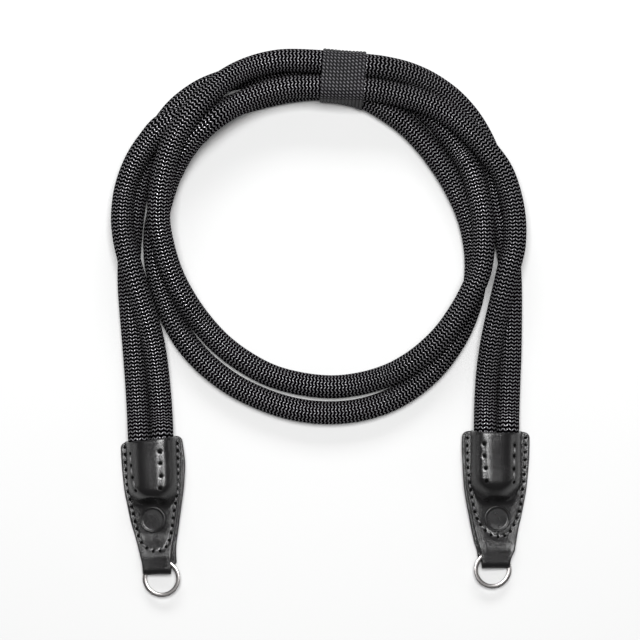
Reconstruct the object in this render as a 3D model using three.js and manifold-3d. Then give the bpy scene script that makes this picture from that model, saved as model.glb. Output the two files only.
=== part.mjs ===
// Doubled rope camera strap, lying coiled about one and a half turns with a woven band round the coil.
// Two braided ropes run side by side from a folded leather end to another, each with a steel split ring.
// Millimetres, +Z up, the strap lies on the plane z = 0, leather ends towards -Y.
import * as THREE from "three";
import { mergeVertices } from "three/addons/utils/BufferGeometryUtils.js";
import Module from "manifold-3d";

const wasm = await Module();
wasm.setup();

// Rope
const ROPE_DIAMETER = 9.3;
const ROPE_SIDES = 12;
const ROPE_STEPS = 80;
const ROPE_SPACING = 9.5; // between the two rope centres inside a leather end

const MERGE_DISTANCE = 0.002;

// Space left between pieces that touch
const CLEARANCE = 0.3;

// Leather ends: one strip each, folded round a ring, two leaves sewn together, moulded over the ropes
const LEATHER_THICKNESS = 1.3;
const END_LENGTH = 57;
const MOUTH_HALF_WIDTH = 13.3;
const CORNER_RADIUS = 2.5;
const LEAF_OFFSET = 1.3; // the back leaf shows this much beside the front leaf
const ROPE_IN_LEATHER = 22; // length of rope held in the pocket
const BULGE_SLOPE = 7; // length over which the moulded bulge falls to the flat leather
const BULGE_NARROWING = 0.35; // share of its width that the bulge loses over that slope
const FOOT_FILLET = 0.5;
const LEAST_SWELL = 0.002; // share of the bulge left in the flat leather, so that no points lie in one line
const LOOP_SLOPE = 4; // length over which the front leaf rises over the ring
const MEDALLION_ASIDE = 0.7; // away from the coil's middle
const MEDALLION_RADIUS = 5.5;
const MEDALLION_RIM = 0.7;
const MEDALLION_HEIGHT = 0.45;
const MEDALLION_RECESS = 0.25;

// Edges of the leaves along a leather end, as shares: along its length, out to the side that faces away
// from the coil's middle and in to the other side of the mouth's half width, and how far the back leaf shows
const LEFT_EDGES = [
  { along: 0.0, out: 0.955, in: 0.92, shows: 1.0 },
  { along: 0.09, out: 0.955, in: 0.912, shows: 1.05 },
  { along: 0.21, out: 0.932, in: 0.895, shows: 1.1 },
  { along: 0.37, out: 0.872, in: 0.85, shows: 0.95 },
  { along: 0.47, out: 0.82, in: 0.797, shows: 0.85 },
  { along: 0.6, out: 0.744, in: 0.714, shows: 0.75 },
  { along: 0.7, out: 0.647, in: 0.624, shows: 0.85 },
  { along: 0.79, out: 0.556, in: 0.534, shows: 1.0 },
  { along: 0.88, out: 0.474, in: 0.481, shows: 0.9 },
  { along: 1.0, out: 0.4, in: 0.45, shows: 0.0 },
];
const RIGHT_EDGES = [
  { along: 0.0, out: 1.045, in: 0.985, shows: 0.8 },
  { along: 0.09, out: 1.045, in: 0.98, shows: 0.8 },
  { along: 0.21, out: 1.035, in: 0.96, shows: 0.75 },
  { along: 0.42, out: 0.965, in: 0.915, shows: 0.65 },
  { along: 0.6, out: 0.82, in: 0.77, shows: 0.9 },
  { along: 0.7, out: 0.715, in: 0.675, shows: 1.0 },
  { along: 0.81, out: 0.6, in: 0.56, shows: 1.1 },
  { along: 0.88, out: 0.52, in: 0.47, shows: 0.9 },
  { along: 1.0, out: 0.42, in: 0.45, shows: 0.0 },
];

// Split rings: two turns of flat wire, with the crossing between the turns inside the leather loop
const RING_INNER_RADIUS = 6.2;
const RING_WIRE_WIDTH = 1.6;
const RING_WIRE_HEIGHT = 0.9;
const RING_TURN_GAP = 0.1;
const RING_BELOW_FOLD = 1.1; // how far the ring's centre lies beyond the fold
const RING_ASIDE = 1.1; // towards the coil's middle
const RING_FACETS = 30;
const RING_END_ANGLE = 30; // degrees from the middle of the crossing to each wire end

// Woven band round the four rope runs
const BAND_WIDTH = 17.8;
const BAND_THICKNESS = 1.0;
const BAND_CENTRE = [7.4, 102.5];
const BAND_TURN = -4.2;
const BAND_STATIONS = 6;
const BAND_CLEARANCE = 0.45;

// Where each leather end's mouth lies, how far it is turned, which side faces the coil's middle, how much
// the cut of the mouth slants and how far down the medallion is
const LEFT_END = {
  mouth: [-72.6, -47.4],
  turn: 2.2,
  inward: 1,
  slant: 0.088,
  medallion: 33.8,
  edges: LEFT_EDGES,
};
const RIGHT_END = {
  mouth: [71.5, -44.3],
  turn: -0.2,
  inward: -1,
  slant: -0.02,
  medallion: 36.5,
  edges: RIGHT_EDGES,
};

// Routes of the two ropes between the mouths, chosen by hand: up the left side, over the top,
// down the right side, round the bottom, up the left side again, over the top and down to the right end
const INNER_ROUTE = [
  [-68.3, -38.6, 6.2], [-68.9, -29.4, 6.2], [-69.9, -18.5, 7.3], [-71.3, -8.1, 9.2],
  [-73.3, 1.1, 11.4], [-75.8, 9.4, 13], [-78.3, 17.6, 14.3], [-80.9, 26.7, 14.5],
  [-82.9, 35, 14.3], [-83.9, 43.7, 13.8], [-83.2, 53.3, 13.4], [-81.1, 61.5, 13.8],
  [-77.7, 69.2, 14.1], [-73.1, 76.1, 14.3], [-67.4, 82.6, 14.6], [-59, 86.5, 13.6],
  [-50.3, 88.5, 9.2], [-42.4, 90.6, 5.1], [-35.1, 93, 4.8], [-25.9, 95.5, 4.8],
  [-15.8, 97.6, 5.3], [-4.1, 98.8, 6], [7.5, 97.8, 6], [16.3, 95.2, 5.4],
  [25.1, 90.4, 4.8], [33.9, 84.2, 4.8], [41.5, 76.6, 4.8], [48.9, 66.9, 4.8],
  [54.5, 57.5, 4.8], [59.1, 47.5, 4.8], [61.9, 37.4, 4.8], [63.1, 26.6, 4.8],
  [62.3, 15.3, 4.8], [59.1, 4, 4.8], [53.5, -7.3, 4.8], [45.6, -17.8, 4.8],
  [36, -26.1, 4.8], [25.1, -32.1, 4.8], [12.6, -35.6, 4.8], [-0.8, -36.4, 4.8],
  [-14.2, -34.6, 4.8], [-28.2, -29.9, 4.8], [-40.9, -23.1, 4.8], [-52.6, -13.3, 4.8],
  [-61.7, -1.2, 4.8], [-67.8, 13.6, 5], [-70.7, 26.5, 6], [-70.8, 39, 7.4],
  [-68.1, 51.8, 9.2], [-63.3, 63.6, 11], [-55.7, 74.9, 15.3], [-46.6, 83.7, 18],
  [-36.8, 90.5, 16.4], [-26, 95.7, 15.6], [-14.5, 98.6, 15.6], [-2.9, 99, 15.5],
  [7.5, 98.6, 15.4], [17.8, 97.9, 15.2], [28.6, 96.1, 14.8], [41, 92.6, 14.4],
  [51.8, 87, 14.4], [60.8, 79.5, 14.6], [68.1, 71.2, 14.6], [73.3, 63.6, 14.6],
  [76.8, 53.6, 14.4], [78.5, 42.9, 14.3], [78.2, 32.5, 14.4], [75.9, 23, 14.5],
  [73.5, 12.7, 13.8], [71.4, 3.6, 12.4], [69.3, -7.2, 10.4], [67.5, -19.4, 7.8],
  [66.6, -31.9, 6.6],
];
const OUTER_ROUTE = [
  [-78, -36.1, 5.4], [-78.7, -24.9, 4.8], [-79.6, -12.3, 4.8], [-80.5, -1, 4.8],
  [-81.3, 8.6, 4.8], [-81.9, 19, 4.8], [-81.7, 29.5, 4.8], [-80.9, 39.9, 4.8],
  [-79.6, 50.4, 4.8], [-77.5, 60.8, 4.8], [-74.3, 70.9, 4.8], [-69.9, 79.8, 4.8],
  [-62.5, 89.9, 4.8], [-53, 97.4, 4.8], [-43, 101.8, 4.8], [-32.2, 104.5, 4.8],
  [-19.6, 107, 5.1], [-4.1, 108.4, 6], [7.5, 107.6, 6], [16.3, 106.1, 5.4],
  [25.1, 102, 4.8], [31.6, 98, 4.8], [38.3, 93.3, 4.8], [43.9, 88.3, 4.8],
  [48.9, 83.1, 4.8], [56.8, 72.1, 5.6], [60.8, 64.7, 8.6], [63.3, 56.3, 10.7],
  [65, 47.9, 12.4], [65.7, 38.8, 13.5], [65.4, 29.6, 14.2], [63.8, 21.4, 14.4],
  [60.8, 14.6, 14.5], [56.7, 6.9, 14.1], [50.2, -2.6, 13.2], [43.1, -10, 11.8],
  [35, -16.2, 9.6], [25.7, -21.1, 6.4], [14.7, -24.3, 4.8], [3, -25.6, 4.8],
  [-9.6, -24.4, 4.8], [-22, -21.1, 4.8], [-33.1, -15.4, 4.8], [-43, -8.1, 4.8],
  [-51.4, 1, 6.6], [-58.3, 11.2, 10.6], [-63.8, 22.5, 13.8], [-67.4, 35.2, 16.6],
  [-68.6, 46.4, 19], [-66.9, 61.1, 21.4], [-62.1, 76.1, 23.2], [-53.3, 89.4, 23.4],
  [-43.2, 99.4, 20], [-32.2, 105.9, 17], [-19.4, 109.2, 16.8], [-6.2, 109.3, 16.4],
  [7.5, 108.2, 15.5], [17, 107.6, 15.6], [25.3, 106.6, 14.8], [34.5, 104.6, 12],
  [43.8, 100.8, 8.4], [53.1, 94.6, 5.4], [60.6, 86.4, 4.8], [66.1, 77.1, 4.8],
  [69.2, 68.8, 4.8], [71.1, 60.4, 4.8], [72.5, 51.2, 4.8], [74.4, 42.4, 4.8],
  [76.1, 33.7, 4.8], [77.2, 24.9, 4.8], [77.6, 14, 4.8], [77.6, 1.5, 4.8],
  [77.4, -11.1, 4.8], [77.1, -24.4, 4.8], [76.6, -36.1, 5.4],
];

// Values that follow from the sizes above
const ROPE_RADIUS = ROPE_DIAMETER / 2;
const POCKET_RADIUS = ROPE_RADIUS + CLEARANCE;
const POCKET_DEPTH = ROPE_IN_LEATHER + CLEARANCE;
const ROPE_HEIGHT_IN_LEATHER = LEATHER_THICKNESS + POCKET_RADIUS;
const BULGE_RADIUS = POCKET_RADIUS + LEATHER_THICKNESS;
const BULGE_END = POCKET_DEPTH + BULGE_SLOPE;
const FLAT_HEIGHT = 2 * LEATHER_THICKNESS;
const RING_HEIGHT = 2 * RING_WIRE_HEIGHT + RING_TURN_GAP;
const RING_OUTER_RADIUS = RING_INNER_RADIUS + RING_WIRE_WIDTH;
const RING_FROM_MOUTH = END_LENGTH + RING_BELOW_FOLD;
const SLOT_HEIGHT = RING_HEIGHT + 2 * CLEARANCE;
const LOOP_HEIGHT = FLAT_HEIGHT + SLOT_HEIGHT;
const SLOT_START = RING_FROM_MOUTH - RING_OUTER_RADIUS - CLEARANCE;
const SLOT_END = END_LENGTH - LEATHER_THICKNESS;
// The fold's wall stands inside the ring, so half its width is half the ring's chord there
const FOLD_WALL_DEPTH = RING_BELOW_FOLD + LEATHER_THICKNESS;
const FOLD_HALF_WIDTH = Math.sqrt(RING_INNER_RADIUS ** 2 - FOLD_WALL_DEPTH ** 2) - CLEARANCE;

const ropeMaterial = new THREE.MeshStandardMaterial({ color: 0x17161a, roughness: 0.75, metalness: 0 });
const leatherMaterial = new THREE.MeshStandardMaterial({ color: 0x141314, roughness: 0.38, metalness: 0 });
const steelMaterial = new THREE.MeshStandardMaterial({ color: 0xb9b9bb, roughness: 0.28, metalness: 1 });
const bandMaterial = new THREE.MeshStandardMaterial({ color: 0x222125, roughness: 0.85, metalness: 0 });

// A closed geometry as a solid for joins and cuts
function solidOf(geometry) {
  const bare = geometry.clone();
  bare.deleteAttribute("normal");
  bare.deleteAttribute("uv");
  const merged = mergeVertices(bare, 1e-4);
  return new wasm.Manifold(
    new wasm.Mesh({
      numProp: 3,
      vertProperties: merged.attributes.position.array,
      triVerts: new Uint32Array(merged.index.array),
    }),
  );
}

// The geometry of a solid, with points closer than the tolerance made one
function geometryOf(solid) {
  const mesh = solid.getMesh();
  const geometry = new THREE.BufferGeometry();
  geometry.setAttribute("position", new THREE.BufferAttribute(new Float32Array(mesh.vertProperties), 3));
  geometry.setIndex(new THREE.BufferAttribute(new Uint32Array(mesh.triVerts), 1));
  const merged = mergeVertices(geometry, MERGE_DISTANCE);
  const index = merged.index.array;
  const kept = [];
  for (let i = 0; i < index.length; i += 3) {
    const [a, b, c] = [index[i], index[i + 1], index[i + 2]];
    if (a !== b && b !== c && c !== a) kept.push(a, b, c);
  }
  merged.setIndex(kept);
  merged.computeVertexNormals();
  return merged;
}

// A closed geometry through a row of outlines with equal point counts; place(i, point) puts a point in space
function loft(outlines, place) {
  const count = outlines[0].length;
  const positions = [];
  outlines.forEach((outline, i) => outline.forEach((point) => positions.push(...place(i, point).toArray())));
  const index = [];
  for (let i = 0; i + 1 < outlines.length; i++) {
    for (let k = 0; k < count; k++) {
      const a = i * count + k;
      const b = i * count + ((k + 1) % count);
      index.push(a, b, b + count, a, b + count, a + count);
    }
  }
  const last = (outlines.length - 1) * count;
  for (const [a, b, c] of THREE.ShapeUtils.triangulateShape(outlines[0], [])) index.push(a, c, b);
  for (const [a, b, c] of THREE.ShapeUtils.triangulateShape(outlines.at(-1), [])) {
    index.push(last + a, last + b, last + c);
  }
  const geometry = new THREE.BufferGeometry();
  geometry.setAttribute("position", new THREE.Float32BufferAttribute(positions, 3));
  geometry.setIndex(signedVolume(positions, index) < 0 ? index.reverse() : index);
  geometry.computeVertexNormals();
  return geometry;
}

// Volume under the faces, negative where they point inwards
function signedVolume(positions, index) {
  const corner = (i) => new THREE.Vector3().fromArray(positions, 3 * i);
  let volume = 0;
  for (let i = 0; i < index.length; i += 3) {
    volume += corner(index[i]).dot(corner(index[i + 1]).cross(corner(index[i + 2]))) / 6;
  }
  return volume;
}

// A leather end's own frame: x across it, y down from the mouth to the fold as a negative number, z up
function placementOf(end) {
  const turn = new THREE.Matrix4().makeRotationZ(THREE.MathUtils.degToRad(end.turn));
  return turn.setPosition(end.mouth[0], end.mouth[1], 0);
}

function placedOn(end, x, down, z) {
  return new THREE.Vector3(x, -down, z).applyMatrix4(placementOf(end));
}

// The rope's run inside a leather end, from the mouth to the cut end; slot is -1 on the left, 1 on the right
function ropeInside(end, slot) {
  return [0, 0.5, 1].map((share) =>
    placedOn(end, (slot * ROPE_SPACING) / 2, share * ROPE_IN_LEATHER, ROPE_HEIGHT_IN_LEATHER),
  );
}

function ropeCurve(route, leftSlot, rightSlot) {
  const between = route.map((point) => new THREE.Vector3(...point));
  const atLeft = ropeInside(LEFT_END, leftSlot).reverse();
  const points = [...atLeft, ...between, ...ropeInside(RIGHT_END, rightSlot)];
  return new THREE.CatmullRomCurve3(points, false, "catmullrom", 0.5);
}

// A circle as a shape with as many sides as the rope
function ropeSection() {
  const shape = new THREE.Shape();
  for (let i = 0; i < ROPE_SIDES; i++) {
    const angle = ((i + 0.5) / ROPE_SIDES) * 2 * Math.PI;
    const [x, y] = [ROPE_RADIUS * Math.cos(angle), ROPE_RADIUS * Math.sin(angle)];
    if (i === 0) shape.moveTo(x, y);
    else shape.lineTo(x, y);
  }
  shape.closePath();
  return shape;
}

function ropeGeometry(curve) {
  curve.arcLengthDivisions = 2000;
  const options = { steps: ROPE_STEPS, extrudePath: curve, bevelEnabled: false };
  return new THREE.ExtrudeGeometry(ropeSection(), options);
}

function smoothStep(from, to, value) {
  return THREE.MathUtils.smoothstep(value, from, to);
}

// One column of a leather end's table at a share of its length, on a smooth curve through the rows
function shareAt(edges, column, along) {
  const curve = new THREE.SplineCurve(edges.map((row) => new THREE.Vector2(row.along, row[column])));
  const points = curve.getPoints(10 * edges.length);
  const next = Math.max(1, points.findIndex((point) => point.x >= Math.min(along, 1)));
  const [a, b] = [points[next - 1], points[next]];
  return a.y + ((b.y - a.y) * (along - a.x)) / (b.x - a.x);
}

// How far the front leaf reaches left and right at a distance from the mouth, with rounded corners there
function reaches(end, down) {
  const intoCorner = Math.max(0, CORNER_RADIUS - down);
  const rounding = CORNER_RADIUS - Math.sqrt(CORNER_RADIUS ** 2 - intoCorner ** 2);
  const nearFold = smoothStep(SLOT_START - LOOP_SLOPE, SLOT_START + LOOP_SLOPE, down);
  const reach = (side) => {
    const column = side === end.inward ? "in" : "out";
    const free = MOUTH_HALF_WIDTH * shareAt(end.edges, column, down / END_LENGTH);
    const atFold = FOLD_HALF_WIDTH + side * end.inward * RING_ASIDE;
    return THREE.MathUtils.lerp(free, atFold, nearFold) - rounding;
  };
  return { left: reach(-1), right: reach(1) };
}

// How far the back leaf shows beside the front leaf, none at the fold
function leafShift(end, down) {
  const free = 1 - smoothStep(SLOT_START, SLOT_END, down);
  return LEAF_OFFSET * shareAt(end.edges, "shows", down / END_LENGTH) * free;
}

// One side of a front leaf's cross section, from its edge to the middle, with its bulge over the rope
function halfOutline(reach, down) {
  const top = FLAT_HEIGHT + SLOT_HEIGHT * smoothStep(SLOT_START - LOOP_SLOPE, SLOT_START, down);
  const swell = Math.max(LEAST_SWELL, 1 - smoothStep(POCKET_DEPTH, BULGE_END, down));
  const narrow = 1 - BULGE_NARROWING * (1 - swell);
  const foot = ROPE_SPACING / 2 + BULGE_RADIUS;
  const profile = [[foot + FOOT_FILLET, 0], [foot + FOOT_FILLET / 3, FOOT_FILLET]];
  for (let i = 0; i <= 6; i++) {
    const angle = (i / 6) * (Math.PI / 2);
    const height = ROPE_HEIGHT_IN_LEATHER - FLAT_HEIGHT + BULGE_RADIUS * Math.sin(angle);
    profile.push([ROPE_SPACING / 2 + BULGE_RADIUS * Math.cos(angle), height]);
  }
  const room = Math.min(1, (reach - FOOT_FILLET / 2) / ((foot + FOOT_FILLET) * narrow));
  const bulge = profile.map(([x, rise]) => [x * narrow * room, top + rise * swell]);
  return [[reach, LEATHER_THICKNESS / 2], [reach, top], ...bulge];
}

// A whole cross section of the front leaf, in x and z
function frontOutline(end, down) {
  const reach = reaches(end, down);
  const right = halfOutline(reach.right, down);
  const left = halfOutline(reach.left, down).map(([x, z]) => [-x, z]);
  return [...right, ...left.reverse()].map(([x, z]) => new THREE.Vector2(x, z));
}

// Distances from the mouth at which a leather end is sectioned
function leatherStations() {
  const corner = [0, 0.25, 0.6, 1].map((share) => share * CORNER_RADIUS);
  const pocket = [0.35, 0.6, 0.85, 1].map((share) => share * POCKET_DEPTH);
  const slope = [0.2, 0.4, 0.6, 0.8, 1].map((share) => POCKET_DEPTH + share * BULGE_SLOPE);
  const loop = SLOT_START - LOOP_SLOPE;
  const flat = [0.2, 0.4, 0.6, 0.8, 1].map((share) => BULGE_END + share * (loop - BULGE_END));
  const rise = [0.25, 0.5, 0.75, 1].map((share) => loop + share * LOOP_SLOPE);
  const end = [0.33, 0.66, 1].map((share) => SLOT_START + share * (END_LENGTH - SLOT_START));
  return [...corner, ...pocket, ...slope, ...flat, ...rise, ...end];
}

// Distance down the leather with the slanted cut of the mouth
function slanted(end, x, down) {
  return down - end.slant * x * Math.max(0, 1 - down / POCKET_DEPTH);
}

function frontLeaf(end) {
  const stations = leatherStations();
  const outlines = stations.map((down) => frontOutline(end, down));
  return loft(outlines, (i, p) => new THREE.Vector3(p.x, -slanted(end, p.x, stations[i]), p.y));
}

function backLeaf(end) {
  const stations = leatherStations();
  const outlines = stations.map((down) => {
    const reach = reaches(end, down);
    const shift = leafShift(end, down);
    const [left, right] = [end.inward * shift - reach.left, end.inward * shift + reach.right];
    const corners = [[left, 0], [right, 0], [right, LEATHER_THICKNESS], [left, LEATHER_THICKNESS]];
    return corners.map(([x, z]) => new THREE.Vector2(x, z));
  });
  return loft(outlines, (i, p) => new THREE.Vector3(p.x, -slanted(end, p.x, stations[i]), p.y));
}

// A side view outline, in down and z, carried across the whole leather end
function carriedAcross(outline) {
  const reach = 2 * MOUTH_HALF_WIDTH;
  return loft([outline, outline], (i, p) => new THREE.Vector3(i === 0 ? -reach : reach, -p.x, p.y));
}

// The point at a radius and an angle from a middle
function aboutPoint(x, y, radius, angle) {
  return new THREE.Vector2(x + radius * Math.cos(angle), y + radius * Math.sin(angle));
}

// A stadium between two ends in down, with its middle at a height
function stadium(from, to, height, radius, parts) {
  const points = [];
  for (let i = 0; i <= parts; i++) {
    const angle = -Math.PI / 2 + (i / parts) * Math.PI;
    points.push(aboutPoint(to - radius, height, radius, angle));
  }
  for (let i = 0; i <= parts; i++) {
    const angle = Math.PI / 2 + (i / parts) * Math.PI;
    points.push(aboutPoint(from + radius, height, radius, angle));
  }
  return points;
}

// The rounded nose of the fold as a side view, taller than the bulge before the nose
function noseOutline() {
  const radius = LOOP_HEIGHT / 2;
  const tall = 4 * BULGE_RADIUS;
  const points = [new THREE.Vector2(-tall, 0)];
  for (let i = 0; i <= 6; i++) {
    const angle = -Math.PI / 2 + (i / 6) * Math.PI;
    points.push(aboutPoint(END_LENGTH - radius, radius, radius, angle));
  }
  points.push(new THREE.Vector2(END_LENGTH - 2 * radius, tall));
  points.push(new THREE.Vector2(-tall, tall));
  return points;
}

// The hollow for the two ropes, open at the mouth
function pocket() {
  const across = ROPE_SPACING / 2 + POCKET_RADIUS;
  const outline = stadium(-across, across, ROPE_HEIGHT_IN_LEATHER, POCKET_RADIUS, 8);
  const ends = [ROPE_IN_LEATHER, -POCKET_DEPTH];
  return loft([outline, outline], (i, p) => new THREE.Vector3(p.x, ends[i], p.y));
}

// A low disc with a raised rim, sunk a little into the front leaf
function medallion(end) {
  const rimInside = MEDALLION_RADIUS - MEDALLION_RIM;
  const profile = [
    [0, -LEATHER_THICKNESS / 2],
    [MEDALLION_RADIUS, -LEATHER_THICKNESS / 2],
    [MEDALLION_RADIUS, MEDALLION_HEIGHT],
    [rimInside, MEDALLION_HEIGHT],
    [rimInside - (MEDALLION_HEIGHT - MEDALLION_RECESS), MEDALLION_RECESS],
    [0, MEDALLION_RECESS],
  ].map(([x, y]) => new THREE.Vector2(x, y));
  const disc = new THREE.LatheGeometry(profile, 24);
  disc.rotateX(Math.PI / 2);
  return disc.translate(-end.inward * MEDALLION_ASIDE, -end.medallion, FLAT_HEIGHT);
}

function leatherEnd(end) {
  const slot = stadium(SLOT_START, SLOT_END, LOOP_HEIGHT / 2, SLOT_HEIGHT / 2, 5);
  const leaves = solidOf(frontLeaf(end)).add(solidOf(backLeaf(end))).add(solidOf(medallion(end)));
  const shaped = leaves
    .intersect(solidOf(carriedAcross(noseOutline())))
    .subtract(solidOf(pocket()))
    .subtract(solidOf(carriedAcross(slot)));
  return geometryOf(shaped).applyMatrix4(placementOf(end));
}

// Flat wire in two turns: a lower turn, a short crossing and an upper turn
function splitRing(end) {
  const aside = end.inward * RING_ASIDE;
  const centre = placedOn(end, aside, RING_FROM_MOUTH, (LOOP_HEIGHT - RING_HEIGHT) / 2);
  const pitch = RING_WIRE_HEIGHT + RING_TURN_GAP;
  const total = 720 - 2 * RING_END_ANGLE;
  const steps = Math.round((RING_FACETS * total) / 360);
  const section = [[0, 0], [RING_WIRE_WIDTH, 0], [RING_WIRE_WIDTH, RING_WIRE_HEIGHT], [0, RING_WIRE_HEIGHT]];
  const outlines = Array.from({ length: steps + 1 }, () => section.map(([x, z]) => new THREE.Vector2(x, z)));
  return loft(outlines, (i, p) => {
    const degrees = RING_END_ANGLE + (i / steps) * total;
    const angle = THREE.MathUtils.degToRad(degrees + 90 + end.turn);
    const lift = pitch * smoothStep(360 - RING_END_ANGLE, 360 + RING_END_ANGLE, degrees);
    const radius = RING_INNER_RADIUS + p.x;
    return new THREE.Vector3(radius * Math.cos(angle), radius * Math.sin(angle), p.y + lift).add(centre);
  });
}

// Where a rope crosses the band's station, as distance across and height, lower run first
function crossings(curve, offset) {
  const angle = THREE.MathUtils.degToRad(BAND_TURN);
  const along = new THREE.Vector3(Math.cos(angle), Math.sin(angle), 0);
  const across = new THREE.Vector3(-Math.sin(angle), Math.cos(angle), 0);
  const centre = new THREE.Vector3(...BAND_CENTRE, 0);
  const samples = curve.getSpacedPoints(ROPE_STEPS).map((point) => point.sub(centre));
  const found = [];
  for (let i = 1; i < samples.length; i++) {
    const [a, b] = [samples[i - 1].dot(along) - offset, samples[i].dot(along) - offset];
    const nearBand = Math.abs(samples[i].dot(across)) < 4 * ROPE_DIAMETER;
    if (a * b <= 0 && a !== b && nearBand) {
      const point = samples[i - 1].clone().lerp(samples[i], a / (a - b));
      found.push(new THREE.Vector2(point.dot(across), point.z));
    }
  }
  return found.sort((a, b) => a.y - b.y);
}

// A loop at a radius round four rope centres, going round once
function roundFour(centres, radius) {
  const points = [];
  const parts = 6;
  centres.forEach((centre, i) => {
    const before = centre.clone().sub(centres[(i + 3) % 4]);
    const after = centres[(i + 1) % 4].clone().sub(centre);
    const start = Math.atan2(before.y, before.x) - Math.PI / 2;
    let turn = Math.atan2(after.y, after.x) - Math.PI / 2 - start;
    while (turn < 0) turn += 2 * Math.PI;
    for (let k = 0; k <= parts; k++) {
      points.push(aboutPoint(centre.x, centre.y, radius, start + (k / parts) * turn));
    }
  });
  return points;
}

// A woven loop that follows the four rope runs it holds
function keeperBand(inner, outer) {
  const tube = (halfLength, radius) => {
    const shares = Array.from({ length: BAND_STATIONS + 1 }, (_, i) => (2 * i) / BAND_STATIONS - 1);
    const offsets = shares.map((share) => share * halfLength);
    const outlines = offsets.map((offset) => {
      const [innerLow, innerHigh] = crossings(inner, offset);
      const [outerLow, outerHigh] = crossings(outer, offset);
      return roundFour([innerLow, outerLow, outerHigh, innerHigh], radius);
    });
    const angle = THREE.MathUtils.degToRad(BAND_TURN);
    const place = (i, p) =>
      new THREE.Vector3(
        BAND_CENTRE[0] + offsets[i] * Math.cos(angle) - p.x * Math.sin(angle),
        BAND_CENTRE[1] + offsets[i] * Math.sin(angle) + p.x * Math.cos(angle),
        Math.max(0, p.y),
      );
    return solidOf(loft(outlines, place));
  };
  const inside = ROPE_RADIUS + BAND_CLEARANCE;
  return geometryOf(
    tube(BAND_WIDTH / 2, inside + BAND_THICKNESS).subtract(tube(BAND_WIDTH / 2 + CLEARANCE, inside)),
  );
}

function named(name, geometry, material) {
  const mesh = new THREE.Mesh(geometry, material);
  mesh.name = name;
  return mesh;
}

const innerCurve = ropeCurve(INNER_ROUTE, 1, -1);
const outerCurve = ropeCurve(OUTER_ROUTE, -1, 1);

const strap = new THREE.Group();
strap.add(named("rope_inner", ropeGeometry(innerCurve), ropeMaterial));
strap.add(named("rope_outer", ropeGeometry(outerCurve), ropeMaterial));
strap.add(named("left_leather_end", leatherEnd(LEFT_END), leatherMaterial));
strap.add(named("right_leather_end", leatherEnd(RIGHT_END), leatherMaterial));
strap.add(named("left_split_ring", splitRing(LEFT_END), steelMaterial));
strap.add(named("right_split_ring", splitRing(RIGHT_END), steelMaterial));
strap.add(named("keeper_band", keeperBand(innerCurve, outerCurve), bandMaterial));

export default strap;
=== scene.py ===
"""Looks of a doubled rope camera strap that lies coiled, with leather ends, split rings and a woven band.

Lengths are in metres in the part's own frame, unless a name ends in _mm.
"""

import logging
import math
from dataclasses import dataclass, field
from enum import Enum

import bpy
import numpy as np
from bpy.types import Material, Node, NodeSocket, NodeTree, Object
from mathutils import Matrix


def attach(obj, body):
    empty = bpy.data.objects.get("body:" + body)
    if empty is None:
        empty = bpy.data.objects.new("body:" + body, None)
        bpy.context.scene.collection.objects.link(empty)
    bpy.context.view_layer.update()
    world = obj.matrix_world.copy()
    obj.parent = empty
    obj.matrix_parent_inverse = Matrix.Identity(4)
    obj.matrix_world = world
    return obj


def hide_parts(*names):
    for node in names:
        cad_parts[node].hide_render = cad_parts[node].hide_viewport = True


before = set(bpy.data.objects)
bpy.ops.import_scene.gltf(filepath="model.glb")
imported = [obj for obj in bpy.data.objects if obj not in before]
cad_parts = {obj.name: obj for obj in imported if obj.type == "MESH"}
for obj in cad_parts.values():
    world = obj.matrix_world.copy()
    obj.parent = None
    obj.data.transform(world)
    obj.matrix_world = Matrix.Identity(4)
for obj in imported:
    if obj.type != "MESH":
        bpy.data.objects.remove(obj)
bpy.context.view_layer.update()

log = logging.getLogger("strap")
MM = 0.001
UP = np.array([0.0, 0.0, 1.0])

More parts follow.
